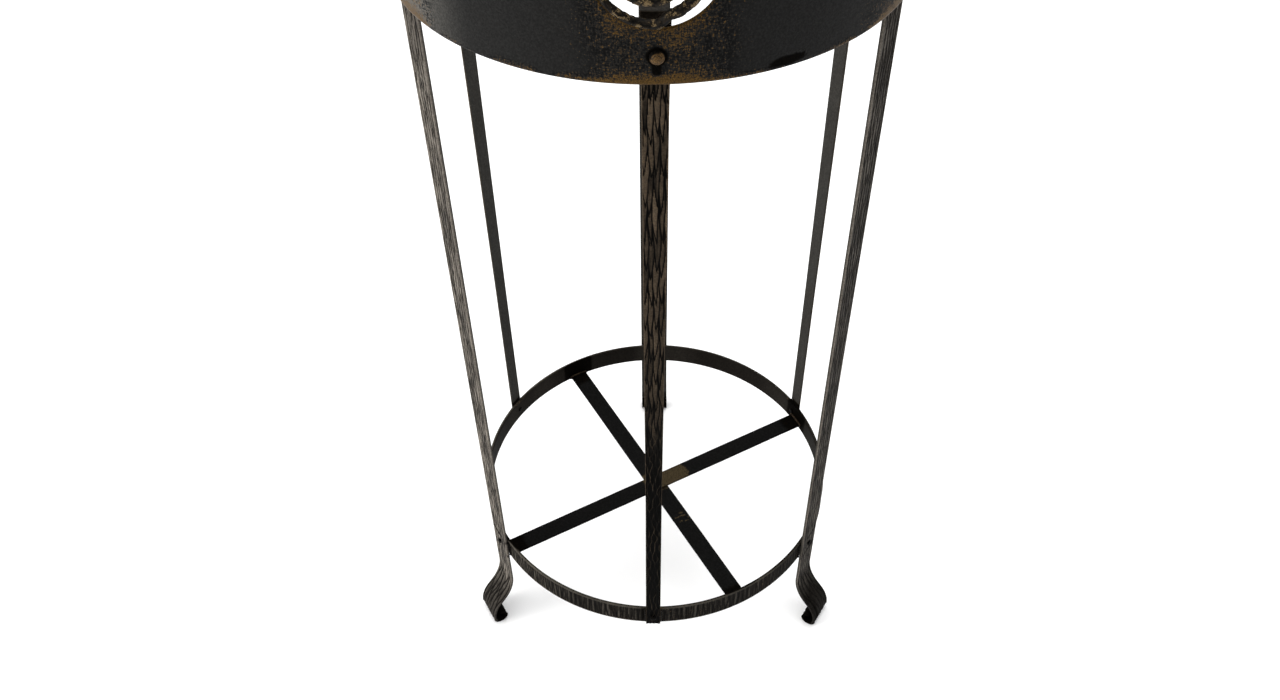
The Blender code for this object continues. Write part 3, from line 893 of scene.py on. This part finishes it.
def make_crossbar(name, degrees, aside, low, crossing, rubbed, mat, seed):
    """A flat crossbar with soft edges, flared into weld fillets where it meets the ring.

    It misses the stand's axis by aside. Rubbed gives the ends of the bronze dab, measured from the crossing.
    """
    inner = RING_R - RING_T
    end = math.sqrt(inner ** 2 - aside ** 2)
    fillet = 0.0021
    ends = np.linspace(0.0, fillet, 14)
    middle = np.linspace(-end + fillet, end - fillet, 260)[1:-1]
    x = np.concatenate([-end - 0.0004 + ends, middle, end + 0.0004 - ends[::-1]])
    from_end = np.clip(end - np.abs(x), 0.0, fillet)
    flare = fillet - np.sqrt(np.clip(fillet ** 2 - (fillet - from_end) ** 2, 0.0, None))
    half = CROSS_W / 2 - SKIN + flare + 0.00010 * (grain(x / 0.009 + 60, x * 0, seed) - 1.0)
    thick = CROSS_T / 2 - SKIN
    soft = CROSS_SOFT
    corner = [math.radians(d) for d in (0, 30, 60, 90)]
    top = np.linspace(-1, 1, 15)
    rows = []
    for xi, h in zip(x, half):
        ring = [(y * (h - soft), thick) for y in top]
        ring += [(h - soft + soft * math.sin(a), thick - soft + soft * math.cos(a)) for a in corner[1:]]
        ring += [(h - soft + soft * math.cos(a), -thick + soft - soft * math.sin(a)) for a in corner]
        ring += [(y * (h - soft), -thick) for y in top[::-1][1:]]
        ring += [(-h + soft - soft * math.sin(a), -thick + soft - soft * math.cos(a)) for a in corner[1:]]
        ring += [(-h + soft - soft * math.cos(a), thick - soft + soft * math.sin(a)) for a in corner[:-1]]
        rows.append(np.array([(xi * math.sqrt(inner ** 2 - (y + aside) ** 2) / end, y + aside, z)
                              for y, z in ring]))
    grid = np.array(rows)
    dent = 0.00012 * grain(grid[..., 0] / 0.007 + 80, grid[..., 1] / 0.005 + 30, seed + 1)
    grid[..., 2] -= np.where(grid[..., 2] > thick - 0.0001, dent, 0.0)
    flat = grid.reshape(-1, 3)
    gap = inner - np.hypot(flat[:, 0], flat[:, 1])
    verts = turned(flat + np.array([0.0, 0.0, low + CROSS_T / 2]), degrees)
    faces = capped_tube(len(x), grid.shape[1])
    along = flat[:, 0] - crossing
    ragged = 0.003 * (grain(flat[:, 1] / 0.002 + 40, along * 0, seed + 6) - 0.5)
    dab = along + ragged
    gold = 0.85 * ramp(dab, rubbed[0], rubbed[0] + 0.003) * (1 - ramp(dab, rubbed[1] - 0.002, rubbed[1]))
    scuff = np.hypot((verts[:, 0] - SCUFF[0]) / 1.2, verts[:, 1] - SCUFF[1])
    scratches = ramp(grain(flat[:, 0] / 0.0007, flat[:, 1] / 0.004 + 20, seed + 4), 0.4, 0.8)
    gold += 0.95 * (1 - ramp(scuff, 0.003, 0.007)) * scratches
    # Darker towards both ends, where the bar meets the ring.
    soot_and_shade = 1.1 * (1 - ramp(gap, 0.0040, 0.0170))
    cloud = grain(flat[:, 0] / 0.012 + 50, flat[:, 1] / 0.006 + 50, seed + 2)
    fields = {"relief": 0.7, "rub_and_light": 0.15 + 0.15 * cloud, "gold": gold, "soot_and_shade": soot_and_shade}
    return finish_mesh(name, verts, faces, mat, fields)


def weld_all(mat):
    """Weld beads where bars and crossbars meet the ring."""
    beads = []
    low, high = RING_Z - RING_H / 2 + 0.0008, RING_Z + RING_H / 2 - 0.0006
    for n, (side, degrees) in enumerate(SIDES.items()):
        width = LEG_W if "leg_" + side in LEG_ANGLES else UPRIGHT_W
        for hand, sign in (("left", -1), ("right", 1)):
            turn = sign * (width / 2 + 0.0003) / RING_R
            r = RING_R + 0.0001
            points = [(r * math.cos(turn), r * math.sin(turn), z) for z in (low, (low + high) / 2, high)]
            points = turned(np.array(points), degrees)
            name = "weld_" + side + "_" + hand
            beads.append(make_weld(name, points, 0.00085, n * 2.3 + sign, 0.55, 0.20, mat))
        across = np.linspace(-width / 2 + 0.001, width / 2 - 0.001, 5)
        points = turned(np.array([(RING_R - 0.0001, y, high + 0.0003) for y in across]), degrees)
        beads.append(make_weld("weld_" + side + "_top", points, 0.0007, n * 1.7, 0.75, 0.15, mat))
    for n, (name, degrees) in enumerate(CROSS_ENDS):
        top = CROSS_TOP if name.startswith("upper") else CROSS_LOW + CROSS_T
        r = RING_R - RING_T - 0.0002
        aside = CROSS_ASIDE[name.split("_")[0]] * (1 if degrees < 180 else -1)
        span = np.arcsin((aside + np.linspace(-CROSS_W / 2 - 0.0008, CROSS_W / 2 + 0.0008, 7)) / r)
        points = turned(np.array([(r * math.cos(a), r * math.sin(a), top - 0.0001) for a in span]), degrees)
        beads.append(make_weld("weld_cross_" + name, points, 0.0009, n + 0.4, 0.25, 0.50, mat))
    for bead in beads:
        settle(bead, None)


# ---------------------------------------------------------------- setting

def point_at(obj, target):
    obj.rotation_mode = "QUATERNION"
    obj.rotation_quaternion = (Vector(target) - obj.location).to_track_quat("-Z", "Y")


def make_light(name, location, size, power, colour=(1.0, 1.0, 1.0)):
    data = bpy.data.lights.new(name, "AREA")
    data.shape = "DISK"
    data.size = size
    data.energy = power
    data.color = colour
    obj = bpy.data.objects.new(name, data)
    bpy.context.scene.collection.objects.link(obj)
    obj.location = location
    point_at(obj, (0.0, 0.0, 0.25))
    return obj


def make_camera():
    """The camera, placed and turned about the stand as the view asks."""
    pitch, roll, yaw = CAMERA_PITCH, CAMERA_ROLL, CAMERA_YAW
    ahead = Vector((math.sin(yaw) * math.cos(pitch), math.cos(yaw) * math.cos(pitch), -math.sin(pitch)))
    right = Vector((math.cos(yaw), -math.sin(yaw), 0.0))
    up = right.cross(ahead)
    level = math.cos(roll) * right + math.sin(roll) * up
    upright = math.cos(roll) * up - math.sin(roll) * right
    turn = Matrix.Rotation(STAND_TURN, 3, "Z")
    axes = Matrix([turn @ level, turn @ upright, turn @ -ahead]).transposed()
    data = bpy.data.cameras.new("camera")
    data.lens = LENS
    data.sensor_width = 36.0
    data.clip_start = 0.01
    obj = bpy.data.objects.new("camera", data)
    bpy.context.scene.collection.objects.link(obj)
    place = turn @ Vector((CAMERA_RIGHT, -CAMERA_BACK, CAMERA_UP)) + Vector((0.0, 0.0, RING_Z))
    obj.matrix_world = Matrix.Translation(place) @ axes.to_4x4()
    bpy.context.scene.camera = obj


def make_floor():
    mesh = bpy.data.meshes.new("floor")
    reach = 6.0
    mesh.from_pydata([(-reach, -reach, 0.0), (reach, -reach, 0.0), (reach, reach, 0.0), (-reach, reach, 0.0)],
                     [], [(0, 1, 2, 3)])
    obj = bpy.data.objects.new("floor", mesh)
    bpy.context.scene.collection.objects.link(obj)
    r = Recipe("floor_paper")
    tone = r.blend(r.step(r.noise(9.0, 2.0), 0.3, 0.7), (0.95, 0.95, 0.95), (0.96, 0.96, 0.96))
    r.links.new(tone, r.shader.inputs["Base Color"])
    r.shader.inputs["Roughness"].default_value = 0.9
    r.shader.inputs["Specular IOR Level"].default_value = 0.1
    mesh.materials.append(r.mat)


def light_scene():
    world = bpy.data.worlds.new("studio")
    world.use_nodes = True
    sky = world.node_tree.nodes["Background"]
    sky.inputs["Color"].default_value = (1.0, 1.0, 1.0, 1.0)
    sky.inputs["Strength"].default_value = 0.10
    bpy.context.scene.world = world
    make_light("key", (-2.6, -0.7, 0.9), 1.6, 66.0, (1.0, 0.985, 0.96))
    make_light("fill", (2.6, -0.6, 1.0), 1.6, 14.0, (0.97, 0.985, 1.0))
    make_light("top", (0.0, 0.2, 3.2), 4.5, 185.0)
    bpy.context.scene.view_settings.view_transform = "Standard"


def make_irons():
    """One iron for each kind of piece: base paint, rubbed tone (which also shows painted light), gold, grain
    scale and grain depth.
    """
    return {
        "bark": iron("bark_iron", (0.008, 0.007, 0.006), (0.310, 0.276, 0.236), (0.14, 0.095, 0.050),
                     900.0, 0.00008),
        "post": iron("post_iron", (0.004, 0.0035, 0.003), (0.140, 0.104, 0.070), (0.110, 0.072, 0.038),
                     900.0, 0.00008),
        "ring": iron("ring_iron", (0.006, 0.005, 0.004), (0.110, 0.099, 0.082), (0.13, 0.085, 0.045),
                     900.0, 0.00008),
        "sheet": iron("sheet_iron", (0.0080, 0.0080, 0.0080), (0.018, 0.017, 0.015), (0.118, 0.066, 0.019),
                      1050.0, 0.00016, index=1.13, weave=1.0, sheen_grey=(0.150, 0.143, 0.130)),
        "flat": iron("flat_iron", (0.0035, 0.0035, 0.0034), (0.008, 0.0078, 0.0075), (0.062, 0.046, 0.025),
                     800.0, 0.00006, index=1.05),
        "rod": iron("rod_iron", (0.004, 0.003, 0.002), (0.034, 0.025, 0.016), (0.24, 0.170, 0.088),
                    1300.0, 0.00010, index=1.18),
        "stud": iron("stud_bronze", (0.010, 0.007, 0.005), (0.05, 0.035, 0.02), (0.14, 0.080, 0.030),
                     1100.0, 0.00006, index=1.2),
        "weld": iron("weld_iron", (0.006, 0.005, 0.004), (0.018, 0.013, 0.009), (0.08, 0.050, 0.023),
                     1300.0, 0.00010, rough=0.42, index=1.15),
    }


def wear(low, high, start=0.0, stop=1.0):
    """A wear that goes from low to high as the height above the ring goes from start to stop."""
    return lambda height: low + (high - low) * ramp(height, start, stop)


def build_bars(irons):
    """The three legs and the three uprights."""
    for n, (name, degrees) in enumerate(LEG_ANGLES.items()):
        rub_and_light, darkened = LEG_LIT_RUB_AND_FOOT_DARK[name]
        bar = make_bar(name + "_embossed", degrees, LEG_T, True, 3.0 + 7 * n, wear(rub_and_light, rub_and_light),
                       wear(0.1, 0.1), irons["bark"], TOP_SHIFTS.get(name[4:], 0.0), darkened)
        settle(bar, name)
    for n, (name, degrees) in enumerate(UPRIGHT_ANGLES.items()):
        bar = make_bar(name + "_embossed", degrees, UPRIGHT_T, False, 51.0 + 7 * n,
                       wear(0.36, 0.86, 0.12, 0.28), wear(0.0, 0.35, 0.20, 0.36), irons["post"],
                       TOP_SHIFTS.get(name[8:], 0.0))
        settle(bar, name)


def build_hoops(irons):
    """The ring, the band, the two crossbars and the weld beads."""
    settle(make_ring(irons["ring"]), "lower_ring")
    settle(make_band(irons["sheet"]), "apron_band")
    upper = make_crossbar("crossbar_upper_soft", 30, CROSS_ASIDE["upper"], CROSS_TOP - CROSS_T,
                          -CROSS_ASIDE["lower"], (-0.010, 0.024), irons["flat"], 71)
    settle(upper, "crossbar_upper")
    lower = make_crossbar("crossbar_lower_soft", 120, CROSS_ASIDE["lower"], CROSS_LOW,
                          CROSS_ASIDE["upper"], (-0.008, 0.011), irons["flat"], 81)
    settle(lower, "crossbar_lower")
    weld_all(irons["weld"])


def build_rods_and_rivets(irons):
    """A scroll, a band rivet and a ring rivet on every side."""
    for n, (side, degrees) in enumerate(SIDES.items()):
        top = degrees + HOLE_SHIFTS.get(side, 0.0)
        settle(make_scroll(side, top, 91 + 5 * n, irons["rod"]), "scroll_" + side)
        inner = RING_R + GAP + LEAN * (BAND_Z - RING_Z + BAND_RIVET_UP)
        outer = BAND_R + LEAN * BAND_RIVET_UP + GAP
        rivet = make_rivet("band_stud_" + side, BAND_RIVET, outer - inner + GAP, top, outer,
                           BAND_Z + BAND_RIVET_UP, 1.0, irons["stud"], 11 + n)
        settle(rivet, "band_rivet_" + side)
        outer = RING_R + GAP + (LEG_T if "leg_" + side in LEG_ANGLES else UPRIGHT_T) + GAP
        grip = outer - (RING_R - RING_T - GAP)
        rivet = make_rivet("ring_stud_" + side, RING_RIVET, grip, degrees, outer, RING_Z, 0.05,
                           irons["stud"], 21 + n)
        settle(rivet, "ring_rivet_" + side)


make_camera()
irons = make_irons()
build_bars(irons)
build_hoops(irons)
build_rods_and_rivets(irons)
make_floor()
light_scene()
